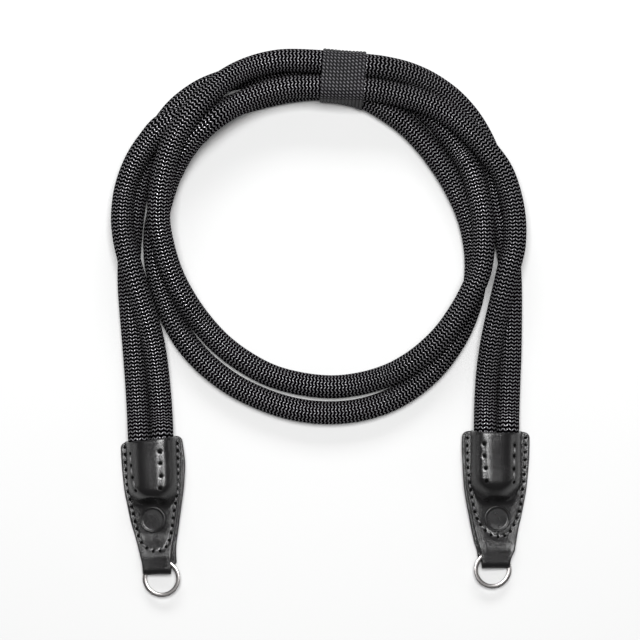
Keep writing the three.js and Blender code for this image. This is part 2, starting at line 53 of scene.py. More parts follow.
INNER_ROUTE_MM = (
    (-68.3, -38.6, 6.2), (-68.9, -29.4, 6.2), (-69.9, -18.5, 7.3), (-71.3, -8.1, 9.2),
    (-73.3, 1.1, 11.4), (-75.8, 9.4, 13), (-78.3, 17.6, 14.3), (-80.9, 26.7, 14.5),
    (-82.9, 35, 14.3), (-83.9, 43.7, 13.8), (-83.2, 53.3, 13.4), (-81.1, 61.5, 13.8),
    (-77.7, 69.2, 14.1), (-73.1, 76.1, 14.3), (-67.4, 82.6, 14.6), (-59, 86.5, 13.6),
    (-50.3, 88.5, 9.2), (-42.4, 90.6, 5.1), (-35.1, 93, 4.8), (-25.9, 95.5, 4.8),
    (-15.8, 97.6, 5.3), (-4.1, 98.8, 6), (7.5, 97.8, 6), (16.3, 95.2, 5.4),
    (25.1, 90.4, 4.8), (33.9, 84.2, 4.8), (41.5, 76.6, 4.8), (48.9, 66.9, 4.8),
    (54.5, 57.5, 4.8), (59.1, 47.5, 4.8), (61.9, 37.4, 4.8), (63.1, 26.6, 4.8),
    (62.3, 15.3, 4.8), (59.1, 4, 4.8), (53.5, -7.3, 4.8), (45.6, -17.8, 4.8),
    (36, -26.1, 4.8), (25.1, -32.1, 4.8), (12.6, -35.6, 4.8), (-0.8, -36.4, 4.8),
    (-14.2, -34.6, 4.8), (-28.2, -29.9, 4.8), (-40.9, -23.1, 4.8), (-52.6, -13.3, 4.8),
    (-61.7, -1.2, 4.8), (-67.8, 13.6, 5), (-70.7, 26.5, 6), (-70.8, 39, 7.4),
    (-68.1, 51.8, 9.2), (-63.7, 63.9, 11), (-56.3, 75.5, 15.3), (-47.1, 84.3, 18),
    (-37.1, 91, 16.4), (-26.1, 96, 15.6), (-14.5, 98.6, 15.6), (-2.9, 99, 15.5),
    (7.5, 98.6, 15.4), (17.8, 97.9, 15.2), (28.6, 96.1, 14.8), (41, 92.6, 14.4),
    (51.8, 87, 14.4), (60.8, 79.5, 14.6), (68.1, 71.2, 14.6), (73.3, 63.6, 14.6),
    (76.8, 53.6, 14.4), (78.5, 42.9, 14.3), (78.2, 32.5, 14.4), (75.9, 23, 14.5),
    (73.5, 12.7, 13.8), (71.4, 3.6, 12.4), (69.3, -7.2, 10.4), (67.8, -19.4, 7.8),
    (67.1, -31.9, 6.6),
)
OUTER_ROUTE_MM = (
    (-78, -36.1, 5.4), (-78.7, -24.9, 4.8), (-79.6, -12.3, 4.8), (-80.5, -1, 4.8),
    (-81.3, 8.6, 4.8), (-81.9, 19, 4.8), (-81.7, 29.5, 4.8), (-80.9, 39.9, 4.8),
    (-79.6, 50.4, 4.8), (-77.5, 60.8, 4.8), (-74.3, 70.9, 4.8), (-69.9, 79.8, 4.8),
    (-62.5, 89.9, 4.8), (-53, 97.4, 4.8), (-43, 101.8, 4.8), (-32.2, 104.5, 4.8),
    (-19.6, 107, 5.1), (-4.1, 108.4, 6), (7.5, 107.6, 6), (16.3, 106.1, 5.4),
    (25.1, 102, 4.8), (31.6, 98, 4.8), (38.3, 93.3, 4.8), (43.9, 88.3, 4.8),
    (48.9, 83.1, 4.8), (56.8, 72.1, 5.6), (60.8, 64.7, 8.6), (63.3, 56.3, 10.7),
    (65, 47.9, 12.4), (65.7, 38.8, 13.5), (65.4, 29.6, 14.2), (63.8, 21.4, 14.4),
    (60.8, 14.6, 14.5), (56.7, 6.9, 14.1), (50.2, -2.6, 13.2), (43.1, -10, 11.8),
    (35, -16.2, 9.6), (25.7, -21.1, 6.4), (14.7, -24.3, 4.8), (3, -25.6, 4.8),
    (-9.6, -24.4, 4.8), (-22, -21.1, 4.8), (-33.1, -15.4, 4.8), (-43, -8.1, 4.8),
    (-51.4, 1, 6.6), (-58.3, 11.2, 10.6), (-63.8, 22.5, 13.8), (-67.4, 35.2, 16.6),
    (-68.6, 46.4, 19), (-66.9, 61.1, 21.4), (-62.1, 76.1, 23.2), (-53.3, 89.4, 23.4),
    (-43.2, 99.4, 20), (-32.2, 105.9, 17), (-19.4, 109.2, 16.8), (-6.2, 109.3, 16.4),
    (7.5, 108.2, 15.5), (17, 107.6, 15.6), (25.3, 106.6, 14.8), (34.5, 104.6, 12),
    (43.8, 100.8, 8.4), (53.1, 94.6, 5.4), (60.6, 86.4, 4.8), (66.1, 77.1, 4.8),
    (69.2, 68.8, 4.8), (71.1, 60.4, 4.8), (72.5, 51.2, 4.8), (74.4, 42.4, 4.8),
    (76.1, 33.7, 4.8), (77.2, 24.9, 4.8), (77.6, 14, 4.8), (77.6, 1.5, 4.8),
    (77.4, -11.1, 4.8), (76.9, -24.4, 4.8), (76.45, -36.1, 5.4),
)


class Side(Enum):
    """Which way a leather end's inner edge faces: +1 is towards +X."""

    LEFT = 1
    RIGHT = -1


# Small tools for curves and meshes


def smooth_step(low: float, high: float, value: np.ndarray | float) -> np.ndarray:
    """Rises from 0 at low to 1 at high along the cubic 3t^2 - 2t^3."""
    t = np.clip((np.asarray(value, float) - low) / (high - low), 0.0, 1.0)
    return t * t * (3.0 - 2.0 * t)


def spline(points: np.ndarray, per_span: int) -> np.ndarray:
    """A uniform Catmull-Rom curve through points.

    Each span is the cubic whose end slopes are half the step between its neighbours, with the first and
    last point carried on in a straight line.

    Args:
        points: the points to pass through, one per row.
        per_span: steps in each span.

    Returns:
        The curve's points, with the last point at its end.
    """
    p = np.vstack([2 * points[0] - points[1], points, 2 * points[-1] - points[-2]])
    t = (np.arange(per_span) / per_span)[None, :, None]
    a, b, c, d = (p[i : len(p) - 3 + i, None, :] for i in range(4))
    body = 0.5 * (2 * b + (c - a) * t + (2 * a - 5 * b + 4 * c - d) * t**2 + (3 * b - a - 3 * c + d) * t**3)
    return np.vstack([body.reshape(-1, points.shape[1]), points[-1]])


def lengths_along(line: np.ndarray) -> np.ndarray:
    """The length of the line up to each of its points."""
    return np.concatenate([[0.0], np.cumsum(np.linalg.norm(np.diff(line, axis=0), axis=1))])


def evenly(line: np.ndarray, count: int) -> np.ndarray:
    """The same line with count points at equal distances along it."""
    along = lengths_along(line)
    at = np.linspace(0.0, along[-1], count)
    return np.stack([np.interp(at, along, line[:, k]) for k in range(line.shape[1])], axis=1)


def unit(vectors: np.ndarray) -> np.ndarray:
    """The vectors at length one."""
    return vectors / np.maximum(np.linalg.norm(vectors, axis=-1, keepdims=True), 1e-12)


def level_frames(line: np.ndarray) -> tuple[np.ndarray, np.ndarray]:
    """Level side and upper normal along a line that never stands upright."""
    tangent = unit(np.gradient(line, axis=0))
    side = unit(np.cross(UP, tangent))
    return side, np.cross(tangent, side)


@dataclass
class Surface:
    """Vertices and faces being collected for one mesh, with a UV for each face corner."""

    vertices: list[np.ndarray] = field(default_factory=list)
    faces: list[tuple[np.ndarray, np.ndarray]] = field(default_factory=list)
    count: int = 0

    def add(self, vertices: np.ndarray, faces: np.ndarray, uv: np.ndarray | None = None) -> int:
        """Adds vertices and faces of one size.

        Args:
            vertices: points, one per row.
            faces: indices into them, one face per row.
            uv: a UV for each corner of each face.

        Returns:
            The index of the first vertex added.
        """
        start = self.count
        self.vertices.append(np.asarray(vertices, float).reshape(-1, 3))
        self.count += len(self.vertices[-1])
        self.more_faces(np.asarray(faces) + start, uv)
        return start

    def more_faces(self, faces: np.ndarray, uv: np.ndarray | None = None) -> None:
        """Adds faces between vertices that are already there."""
        if uv is None:
            uv = np.zeros(faces.shape + (2,))
        self.faces.append((faces, uv))

    def build(self, name: str, finish: Material, smooth: bool = True) -> Object:
        """Makes the object, with its place in its mesh."""
        points = np.vstack(self.vertices)
        sizes = np.concatenate([np.full(len(f), f.shape[1]) for f, _ in self.faces])
        corners = np.concatenate([f.ravel() for f, _ in self.faces])
        uv = np.concatenate([u.reshape(-1, 2) for _, u in self.faces])
        mesh = bpy.data.meshes.new(name)
        mesh.vertices.add(len(points))
        mesh.vertices.foreach_set("co", points.astype(np.float32).ravel())
        mesh.loops.add(len(corners))
        mesh.loops.foreach_set("vertex_index", corners.astype(np.int32))
        mesh.polygons.add(len(sizes))
        mesh.polygons.foreach_set("loop_start", (np.cumsum(sizes) - sizes).astype(np.int32))
        mesh.uv_layers.new(name="UVMap").uv.foreach_set("vector", uv.astype(np.float32).ravel())
        mesh.update(calc_edges=True)
        mesh.validate()
        mesh.polygons.foreach_set("use_smooth", np.full(len(mesh.polygons), smooth))
        mesh.materials.append(finish)
        thing = bpy.data.objects.new(name, mesh)
        bpy.context.scene.collection.objects.link(thing)
        return thing


def tube_faces(rows: int, around: int) -> np.ndarray:
    """Quads of a grid of rows that is closed around, as indices into it, row by row."""
    i, k = np.meshgrid(np.arange(rows - 1), np.arange(around), indexing="ij")
    n = (k + 1) % around
    quads = np.stack([i * around + k, i * around + n, (i + 1) * around + n, (i + 1) * around + k], axis=-1)
    return quads.reshape(-1, 4)


def tube_uv(u: np.ndarray, v: np.ndarray) -> np.ndarray:
    """Corner UVs for tube_faces from u at each of around + 1 places and v at each row."""
    shape = (len(v) - 1, len(u) - 1)
    low_u, high_u = (np.broadcast_to(values[None], shape) for values in (u[:-1], u[1:]))
    low_v, high_v = (np.broadcast_to(values[:, None], shape) for values in (v[:-1], v[1:]))
    corners = [(low_u, low_v), (high_u, low_v), (high_u, high_v), (low_u, high_v)]
    return np.stack([np.stack(c, axis=-1) for c in corners], axis=-2).reshape(-1, 4, 2)


def outward(quads: np.ndarray, flip: bool) -> np.ndarray:
    """The same faces, turned over where flip is true."""
    return quads[:, ::-1] if flip else quads


def ring_of(count: int) -> np.ndarray:
    """Angles of count points evenly round a circle, in radians."""
    return np.linspace(0, 2 * np.pi, count + 1)[:-1]


def volume_under(points: np.ndarray, quads: np.ndarray) -> float:
    """Six times the signed volume between quads and the origin, each quad taken as two triangles."""
    a, b, c, d = (points[quads[:, k]] for k in range(4))
    return float(np.sum(a * (np.cross(b, c) + np.cross(c, d))))


def closed_tube(
    surface: Surface, rings: np.ndarray, uv: np.ndarray | None = None, cap_rise: float = 0.0
) -> None:
    """Adds a tube through rings of points, closed by a fan at both ends, with its faces outwards.

    Args:
        surface: the mesh being collected.
        rings: points in rows, one ring per row.
        uv: corner UVs of the tube's own quads.
        cap_rise: how far each fan's middle lies out beyond its ring, in metres.
    """
    rows, around = rings.shape[:2]
    middles = rings.mean(axis=1)
    first = middles[0] + unit(middles[0] - middles[1]) * cap_rise
    last = middles[-1] + unit(middles[-1] - middles[-2]) * cap_rise
    points = np.vstack([rings.reshape(-1, 3), first, last])
    quads = tube_faces(rows, around)
    flip = volume_under(points - middles[0], quads) < 0
    corner_uv = uv if uv is None or not flip else uv[:, ::-1]
    start = surface.add(points, outward(quads, flip), corner_uv)
    k = np.arange(around)
    n = (k + 1) % around
    bottom = np.stack([n, k, np.full(around, rows * around)], axis=1)
    base = (rows - 1) * around
    top = np.stack([base + k, base + n, np.full(around, rows * around + 1)], axis=1)
    surface.more_faces(outward(np.vstack([bottom, top]), flip) + start)


# Finishes


class Graph:
    """A node tree with short calls for the nodes used here."""

    def __init__(self, tree: NodeTree) -> None:
        """Keeps the tree."""
        self.tree = tree

    def node(self, kind: str, **settings: object) -> Node:
        """A new node of a kind, with its properties set."""
        made = self.tree.nodes.new(kind)
        for key, value in settings.items():
            setattr(made, key, value)
        return made

    def join(self, source: NodeSocket, target: NodeSocket) -> None:
        """Links one socket to another."""
        self.tree.links.new(source, target)

    def math(self, kind: str, *values: float | NodeSocket) -> NodeSocket:
        """The result of a Math node on numbers or sockets."""
        made = self.node("ShaderNodeMath", operation=kind)
        for slot, value in zip(made.inputs, values):
            if isinstance(value, (int, float)):
                slot.default_value = value
            else:
                self.join(value, slot)
        return made.outputs[0]

    def blend(self, factor: NodeSocket, low: tuple[float, ...], high: tuple[float, ...]) -> NodeSocket:
        """A colour between two colours by a factor."""
        made = self.node("ShaderNodeMix", data_type="RGBA")
        self.join(factor, made.inputs["Factor"])
        made.inputs["A"].default_value = (*low, 1.0)
        made.inputs["B"].default_value = (*high, 1.0)
        return made.outputs["Result"]

    def span(self, value: NodeSocket, low: float, high: float, to_low: float, to_high: float) -> NodeSocket:
        """The value carried from one range to another."""
        made = self.node("ShaderNodeMapRange")
        self.join(value, made.inputs["Value"])
        for key, number in (("From Min", low), ("From Max", high), ("To Min", to_low), ("To Max", to_high)):
            made.inputs[key].default_value = number
        return made.outputs["Result"]

    def bump(self, height: NodeSocket, distance: float, shader: Node) -> None:
        """Bends a shader's normal by a height map; a height of one stands for the distance, in metres."""
        made = self.node("ShaderNodeBump")
        made.inputs["Strength"].default_value = 1.0
        made.inputs["Distance"].default_value = distance
        self.join(height, made.inputs["Height"])
        self.join(made.outputs["Normal"], shader.inputs["Normal"])

    def own_uv(self) -> NodeSocket:
        """The piece's own UV map."""
        return self.node("ShaderNodeUVMap", uv_map="UVMap").outputs["UV"]


def new_group(name: str, inputs: dict[str, str], outputs: dict[str, str]) -> tuple[NodeTree, Graph]:
    """An empty shader group with named sockets."""
    tree = bpy.data.node_groups.new(name, "ShaderNodeTree")
    for key, kind in inputs.items():
        tree.interface.new_socket(name=key, in_out="INPUT", socket_type=kind)
    for key, kind in outputs.items():
        tree.interface.new_socket(name=key, in_out="OUTPUT", socket_type=kind)
    return tree, Graph(tree)


@dataclass(frozen=True)
class BraidRelief:
    """Height of a braided jacket and the painted highlight and shade on its yarns, as a node group.

    The incoming vector counts columns in X and rows of yarns in Y. Within a column the yarns lean one way
    and in the next the other way, so their rows zigzag, unless Twill is one and all lean alike. The height
    across each of the yarns is a half circle, lower near its two ends, with fine filaments along it. The
    mask is painted
    light: a painted highlight on the yarns' crowns, painted shade in the gaps and where they dive under
    their neighbours, and a little different at random from one to the next.
    """

    filaments: int = 5
    filament_height: float = 0.06
    dive: float = 0.8
    dive_power: float = 2.5
    least: float = 0.75
    variety: float = 0.35
    # Powers of the painted shade towards the yarns' ends and of the painted highlight on their crowns
    end_shade_power: float = 1.4
    highlight_power: float = 6.0

    def make(self) -> NodeTree:
        """The group, with Height and the painted highlight and shade mask from 0 to about 1."""
        floats = {name: "NodeSocketFloat" for name in ("Lean", "Fullness", "Twill")}
        tree, g = new_group(
            "Braid relief",
            floats | {"Vector": "NodeSocketVector"},
            {"Height": "NodeSocketFloat", "Painted sheen": "NodeSocketFloat"},
        )
        start, end = g.node("NodeGroupInput"), g.node("NodeGroupOutput")
        split = g.node("ShaderNodeSeparateXYZ")
        g.join(start.outputs["Vector"], split.inputs[0])
        across = g.math("FRACT", split.outputs["X"])
        column = g.math("FLOOR", split.outputs["X"])
        contrast = g.math("MULTIPLY_ADD", start.outputs["Twill"], -2.0, 2.0)
        way = g.math("MULTIPLY_ADD", g.math("FLOORED_MODULO", column, 2.0), contrast, -1.0)
        slope = g.math("MULTIPLY", way, start.outputs["Lean"])
        shift = g.math("MULTIPLY", g.math("SUBTRACT", across, 0.5), slope)
        rows = g.math("ADD", split.outputs["Y"], shift)
        row = g.math("FRACT", rows)
        off = g.math("DIVIDE", g.math("ABSOLUTE", g.math("SUBTRACT", row, 0.5)), start.outputs["Fullness"])
        inside = g.math("MAXIMUM", g.math("SUBTRACT", 1.0, g.math("MULTIPLY", off, off)), 0.0)
        arch = g.math("SQRT", inside)
        from_middle = g.math("ABSOLUTE", g.math("MULTIPLY_ADD", across, 2.0, -1.0))
        fall = g.math("MULTIPLY", g.math("POWER", from_middle, self.dive_power), self.dive)
        strand = g.math("SINE", g.math("MULTIPLY", row, 2.0 * math.pi * self.filaments))
        fine = g.math("MULTIPLY_ADD", strand, self.filament_height, 1.0)
        bent = g.math("MULTIPLY", arch, g.math("SUBTRACT", 1.0, fall))
        g.join(g.math("MULTIPLY", bent, fine), end.inputs["Height"])
        cell = g.node("ShaderNodeCombineXYZ")
        g.join(column, cell.inputs["X"])
        g.join(g.math("FLOOR", rows), cell.inputs["Y"])
        chance = g.node("ShaderNodeTexWhiteNoise", noise_dimensions="2D")
        g.join(cell.outputs["Vector"], chance.inputs["Vector"])
        # Painted light in the mask: a painted highlight narrowed to the crowns, its strength varied at
        # random from one to the next, with painted shade towards the ends where they dive under their
        # neighbours and in the gaps between rows
        own = g.math("MULTIPLY_ADD", chance.outputs["Value"], self.variety, self.least)
        ends = g.math("SUBTRACT", 1.0, g.math("MULTIPLY", from_middle, from_middle))
        lit = g.math("MULTIPLY", g.math("POWER", ends, self.end_shade_power), own)
        g.join(g.math("MULTIPLY", g.math("POWER", arch, self.highlight_power), lit), end.inputs["Painted sheen"])
        return tree


@dataclass(frozen=True)
class GrainRelief:
    """Height of a fine leather grain and a slow cloudiness, as a node group. Scales are per metre."""

    pebble_scale: float = 1900.0
    pebble_share: float = 0.5
    groove: float = 0.2
    pore_scale: float = 900.0
    pore_detail: float = 4.0
    pore_share: float = 0.8
    cloud_scale: float = 90.0
    cloud_detail: float = 3.0

    def make(self) -> NodeTree:
        """The group: pebbles with flat tops between grooves, and pores, from a point in metres."""
        tree, g = new_group(
            "Leather grain",
            {"Vector": "NodeSocketVector"},
            {"Height": "NodeSocketFloat", "Cloud": "NodeSocketFloat"},
        )
        start, end = g.node("NodeGroupInput"), g.node("NodeGroupOutput")
        cells = g.node("ShaderNodeTexVoronoi", feature="DISTANCE_TO_EDGE")
        cells.inputs["Scale"].default_value = self.pebble_scale
        pores, cloud = g.node("ShaderNodeTexNoise"), g.node("ShaderNodeTexNoise")
        pores.inputs["Scale"].default_value = self.pore_scale
        pores.inputs["Detail"].default_value = self.pore_detail
        cloud.inputs["Scale"].default_value = self.cloud_scale
        cloud.inputs["Detail"].default_value = self.cloud_detail
        for texture in (cells, pores, cloud):
            g.join(start.outputs["Vector"], texture.inputs["Vector"])
        pebble = g.math("MINIMUM", g.math("MULTIPLY", cells.outputs["Distance"], 1 / self.groove), 1.0)
        rough = g.math("MULTIPLY", pores.outputs["Fac"], self.pore_share)
        height = g.math("ADD", g.math("MULTIPLY", pebble, self.pebble_share), rough)
        g.join(height, end.inputs["Height"])
        g.join(cloud.outputs["Fac"], end.inputs["Cloud"])
        return tree


def new_material(name: str) -> tuple[Material, Graph, Node]:
    """A material with its graph and its Principled shader."""
    material = bpy.data.materials.new(name)
    material.use_nodes = True
    graph = Graph(material.node_tree)
    shader = next(n for n in material.node_tree.nodes if n.type == "BSDF_PRINCIPLED")
    return material, graph, shader


@dataclass(frozen=True)
class WovenFinish:
    """Yarns with a painted highlight in their colour on the crowns and painted shade in the dark gaps
    between them.

    Lean, fullness and twill go to the braid relief. Sheen is how metallic the yarns' crowns are.
    """

    name: str
    # Colour of the gaps, the black darkened to painted shade, and colour of the crowns, a grey painted
    # highlight
    gap_shade: tuple[float, float, float]
    crown_highlight: tuple[float, float, float]
    lean: float
    fullness: float
    roughness: float
    specular: float
    sheen: float = 0.0
    twill: float = 0.0
    relief: float = 0.0003

    def make(self, relief: NodeTree) -> Material:
        """The material, from the shared braid relief and the piece's own UV map."""
        material, g, shader = new_material(self.name)
        braid = g.node("ShaderNodeGroup", node_tree=relief)
        braid.inputs["Lean"].default_value = self.lean
        braid.inputs["Fullness"].default_value = self.fullness
        braid.inputs["Twill"].default_value = self.twill
        g.join(g.own_uv(), braid.inputs["Vector"])
        # Base colour runs from the gaps' painted shade to the crowns' painted highlight by the braid's
        # painted mask
        g.join(g.blend(braid.outputs["Painted sheen"], self.gap_shade, self.crown_highlight), shader.inputs["Base Color"])
        g.bump(braid.outputs["Height"], self.relief, shader)
        if self.sheen > 0:
            g.join(g.math("MULTIPLY", braid.outputs["Painted sheen"], self.sheen), shader.inputs["Metallic"])
        shader.inputs["Roughness"].default_value = self.roughness
        shader.inputs["Specular IOR Level"].default_value = self.specular
        return material


@dataclass(frozen=True)
class LeatherFinish:
    """Smooth, glossy leather with a fine grain, whose least share shows where the UV's X is 0."""

    name: str
    colour: tuple[float, float, float] = (0.0045, 0.0043, 0.0045)
    roughness: float = 0.22
    specular: float = 0.3
    grain: float = 0.00007
    least_grain: float = 0.4
    smoother: float = 0.05
    rougher: float = 0.07
    cloud_span: tuple[float, float] = (0.3, 0.7)

    def make(self, grain: NodeTree) -> Material:
        """The material, from the shared grain and the piece's own place."""
        material, g, shader = new_material(self.name)
        place = g.node("ShaderNodeTexCoord")
        skin = g.node("ShaderNodeGroup", node_tree=grain)
        g.join(place.outputs["Object"], skin.inputs["Vector"])
        coarse = g.node("ShaderNodeSeparateXYZ")
        g.join(g.own_uv(), coarse.inputs[0])
        amount = g.math("MULTIPLY_ADD", coarse.outputs["X"], 1 - self.least_grain, self.least_grain)
        g.bump(g.math("MULTIPLY", skin.outputs["Height"], amount), self.grain, shader)
        least, most = self.roughness - self.smoother, self.roughness + self.rougher
        g.join(g.span(skin.outputs["Cloud"], *self.cloud_span, least, most), shader.inputs["Roughness"])
        shader.inputs["Base Color"].default_value = (*self.colour, 1.0)
        shader.inputs["Specular IOR Level"].default_value = self.specular
        return material


@dataclass(frozen=True)
class PlainFinish:
    """A finish that is the same all over."""

    name: str
    colour: tuple[float, float, float]
    roughness: float
    metallic: float = 0.0
    specular: float = 0.5

    def make(self) -> Material:
        """The material."""
        material, _, shader = new_material(self.name)
        shader.inputs["Base Color"].default_value = (*self.colour, 1.0)
        shader.inputs["Roughness"].default_value = self.roughness
        shader.inputs["Metallic"].default_value = self.metallic
        shader.inputs["Specular IOR Level"].default_value = self.specular
        return material


@dataclass
class Finishes:
    """Every material of the strap, made once."""

    rope: Material
    leather: Material
    pressed: Material
    thread: Material
    hole: Material
    steel: Material
    band: Material

    @classmethod
    def make(cls) -> "Finishes":
        """Builds the shared groups and the materials."""
        braid, grain = BraidRelief().make(), GrainRelief().make()
        return cls(
            rope=WovenFinish(
                "rope_braid",
                # Black rope: near-black painted shade in the gaps, a grey painted highlight on the crowns
                gap_shade=(0.0002, 0.0002, 0.0003),
                crown_highlight=(0.25, 0.244, 0.257),
                lean=0.56,
                fullness=0.225,
                roughness=0.29,
                specular=0.0,
                sheen=0.85,
            ).make(braid),
            leather=LeatherFinish("leather_face").make(grain),
            pressed=LeatherFinish("pressed_leather", roughness=0.28).make(grain),
            thread=PlainFinish("waxed_thread", (0.05, 0.049, 0.05), 0.3).make(),
            # Near-black with no specular: painted shade in the stitch holes
            hole=PlainFinish("stitch_hole_shade", (0.002, 0.002, 0.002), 0.8, specular=0.0).make(),
            steel=PlainFinish("ring_steel", (0.28, 0.267, 0.263), 0.26, 1.0).make(),
            band=WovenFinish(
                "band_weave",
                # Black band: near-black painted shade in the gaps, a dark grey painted highlight on the
                # crowns
                gap_shade=(0.003, 0.003, 0.0035),
                crown_highlight=(0.108, 0.105, 0.112),
                lean=0.75,
                fullness=0.3,
                roughness=0.6,
                specular=0.08,
                twill=1.0,
            ).make(braid),
        )


# Leather ends


@dataclass(frozen=True)
class Placement:
    """Where a leather end lies: its own frame has x across, down from the mouth to the fold, and z up.

    The roll and its pivot ease off along the end by the shares given, between the two places of fade_mm.
    """

    side: Side
    mouth_mm: tuple[float, float]
    turn: float
    slant: float
    medallion_mm: float
    roll: float = 0.15
    roll_ease: float = 0.1
    pivot_mm: float = 11.5
    pivot_ease: float = 0.5
    fade_mm: tuple[float, float] = (20.0, 57.0)

    def place(self, x: np.ndarray | float, down: np.ndarray, z: np.ndarray | float) -> np.ndarray:
        """Points of the end's own frame, in mm, carried into the part's frame in metres.

        The end lies rolled a little on its outer edge, so its inner side is lifted in proportion to its
        distance from that edge. Then a turn about Z and a shift.
        """
        c, s = math.cos(math.radians(self.turn)), math.sin(math.radians(self.turn))
        x, down, z = np.broadcast_arrays(x, down, z)
        fade = smooth_step(*self.fade_mm, down)
        lift = np.maximum(0.0, self.side.value * x + self.pivot_mm * (1 - self.pivot_ease * fade))
        z = z + self.roll * (1 - self.roll_ease * fade) * lift
        across = self.mouth_mm[0] + x * c + down * s
        along = self.mouth_mm[1] + x * s - down * c
        return np.stack([across, along, z], axis=-1) * MM

    def place_all(self, points: np.ndarray) -> np.ndarray:
        """The same for an array whose last axis holds x, down and z."""
        return self.place(points[..., 0], points[..., 1], points[..., 2])


LEFT_END = Placement(Side.LEFT, (-72.6, -47.4), turn=2.2, slant=0.088, medallion_mm=33.8)
RIGHT_END = Placement(Side.RIGHT, (71.5, -44.3), turn=-0.2, slant=-0.02, medallion_mm=36.5)

# Places along a leather end as shares of its length, and there the shares of its outer edge's and inner
# edge's reach and of how far the back leaf shows
EDGES = {
    Side.LEFT: (
        (0.0, 0.985, 0.92, 0.35), (0.09, 0.985, 0.912, 0.9), (0.21, 0.97, 0.895, 1.4),
        (0.37, 0.925, 0.85, 1.15), (0.47, 0.86, 0.797, 0.95), (0.6, 0.765, 0.714, 0.8),
        (0.7, 0.655, 0.624, 0.95), (0.79, 0.556, 0.534, 1.2), (0.88, 0.474, 0.481, 1.6),
        (1.0, 0.4, 0.45, 2.2),
    ),
    Side.RIGHT: (
        (0.0, 1.075, 0.985, 0.7), (0.09, 1.075, 0.98, 1.0), (0.21, 1.06, 0.96, 1.0),
        (0.42, 0.98, 0.915, 0.8), (0.6, 0.84, 0.77, 0.9), (0.7, 0.745, 0.675, 1.0),
        (0.81, 0.65, 0.56, 1.1), (0.88, 0.6, 0.47, 1.1), (1.0, 0.5, 0.45, 1.1),
    ),
}

# Points that the edge seam passes, from the left edge round below the medallion to the right, and the
# holes of the rows that hold the ropes
SEAMS_MM = {
    Side.LEFT: (
        (-11.3, 1.6), (-11.36, 8), (-11.2, 15), (-10.9, 20.68), (-9.9, 26), (-8.9, 31.24), (-8.15, 35.29),
        (-7.49, 38.84), (-6.81, 42.01), (-5.31, 44.4), (-3.49, 46.12), (-1.1, 47.05), (2.13, 47.17),
        (4.84, 45.18), (6.2, 41.89), (7.1, 38.15), (8.01, 32.73), (9.2, 27), (10.1, 21), (10.7, 12.72),
        (10.9, 6), (10.8, 0.6),
    ),
    Side.RIGHT: (
        (-12.0, 1.2), (-12.0, 6.01), (-11.85, 12.08), (-11.5, 18.36), (-10.51, 24.64), (-9.19, 31.34),
        (-7.24, 37.41), (-3.66, 42.13), (-0.6, 44.09), (2.5, 44.37), (5.31, 43.23), (8.8, 37.56),
        (10.75, 30.85), (11.52, 24.15), (12.13, 17.69), (12.44, 11.16), (12.6, 4.45), (12.6, 1.0),
    ),
}
FIXINGS_MM = {
    Side.LEFT: (
        ((3.9, 5.1), (3.95, 10.0), (4.05, 15.2), (3.5, 20.1)),
        ((-8.3, 5.5), (-8.1, 10.5), (-7.7, 15.4), (-6.6, 20.8)),
    ),
    Side.RIGHT: (
        ((-5.5, 4.8), (-5.35, 9.8), (-4.8, 14.9), (-4.4, 20.0)),
        ((7.1, 5.4), (6.9, 9.8), (6.8, 15.2), (6.9, 20.6)),
    ),
}

# Rows of points near the mouth, as distances from it, and how thick the leather is in the first of them
MOUTH_ROWS_MM = (0.0, 0.12, 0.35, 0.7, 1.1, 1.6, 2.1, 2.6)
LIP_SHARES = (0.35, 0.62, 0.85, 0.97)

# Points round each long edge of the leather, between its two skins
EDGE_POINTS = 7

# Rings of the medallion from its rim inwards, as radius and height over the leather
MEDALLION_MM = (
    (5.75, -0.6), (5.6, -0.05), (5.45, 0.3), (5.2, 0.5), (4.95, 0.5), (4.75, 0.32),
    (4.6, 0.12), (4.45, 0.04), (4.0, 0.03), (3.0, 0.05), (1.5, 0.06), (0.4, 0.06),
)


@dataclass(frozen=True)
class Dent:
    """A bell-shaped dip pressed into the leather: its depth in mm and its spread in square mm."""

    depth: float
    spread: float

    def sink(self, x: np.ndarray, down: np.ndarray, spots: np.ndarray) -> np.ndarray:
        """How far the leather sinks at points, by the nearest of the spots."""
        apart = [(x - spot[0]) ** 2 + (down - spot[1]) ** 2 for spot in spots]
        return self.depth * np.exp(-np.min(apart, axis=0) / self.spread)


@dataclass(frozen=True)
class Stitch:
    """One kind of stitch and its holes. Sizes in mm.

    Rise is how far its middle stands over the leather, and slant how far its ends are moved to opposite
    sides of the seam.
    """

    width: float
    rise: float
    slant: float
    hole_radius: float
    hole_sink: float
    hole_dent: Dent
    line_dent: Dent


# A stitch's thread: how deep its ends dive, how far they are rounded out, their width as a share of the
# middle's, and its height as a share of its width
THREAD_DIVE_MM = 0.25
THREAD_CAP_MM = 0.05
THREAD_END = 0.35
THREAD_FLATNESS = 0.7

# Rings of the painted-shade lens in a hole as shares of its radius, and how deep they lie under its own
# sink in mm
HOLE_LENS = ((0.6, 0.15), (1.0, -0.1), (0.6, -0.16))

EDGE_STITCH = Stitch(
    width=0.7,
    rise=0.08,
    slant=0.22,
    hole_radius=0.66,
    hole_sink=0.13,
    hole_dent=Dent(0.32, 0.35),
    line_dent=Dent(0.12, 0.5),
)
FIXING_STITCH = Stitch(
    width=0.95,
    rise=-0.08,
    slant=0.0,
    hole_radius=0.78,
    hole_sink=0.3,
    hole_dent=Dent(0.45, 0.6),
    line_dent=Dent(0.14, 0.8),
)


